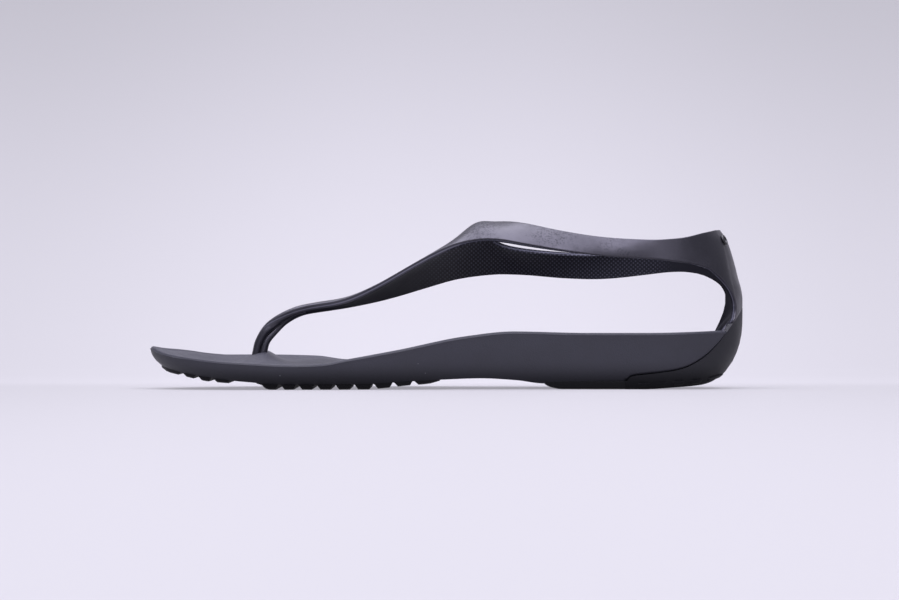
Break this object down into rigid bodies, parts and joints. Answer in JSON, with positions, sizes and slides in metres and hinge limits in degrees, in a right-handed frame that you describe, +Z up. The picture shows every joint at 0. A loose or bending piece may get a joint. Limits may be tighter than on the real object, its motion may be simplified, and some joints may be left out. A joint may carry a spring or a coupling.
{
  "type": "flip flop",
  "caption": "Moulded T-strap flip flop for the right foot: foam footbed with rim and lugged sole, one-piece upper from toe post to heel collar, and a cup round the heel.",
  "frame": {"origin": "centre of the bounding box, on the floor that the shoe stands on", "axes": "+Z up, +X from the toe to the heel, -Y the medial (inner) side of this right shoe"},
  "size_m": [0.2517, 0.0919, 0.0711],
  "materials": {
    "footbed_foam": "matt moulded foam, charcoal black with a faint blue cast",
    "upper_tpu": "satin moulded elastomer",
    "cup_foam": "matt moulded foam, darker than the footbed",
    "tread_rubber": "matt rubber tread",
    "stud_plastic": "satin gloss stud"
  },
  "bodies": {
    "root": {"footbed": "footbed_foam", "upper": "upper_tpu", "heel_cup": "cup_foam", "toe_tread": "tread_rubber", "ball_tread": "tread_rubber", "heel_tread": "tread_rubber", "toe_post_plug": "cup_foam", "collar_stud": "stud_plastic", "collar_stud_washer": "stud_plastic"}
  },
  "joints": []
}
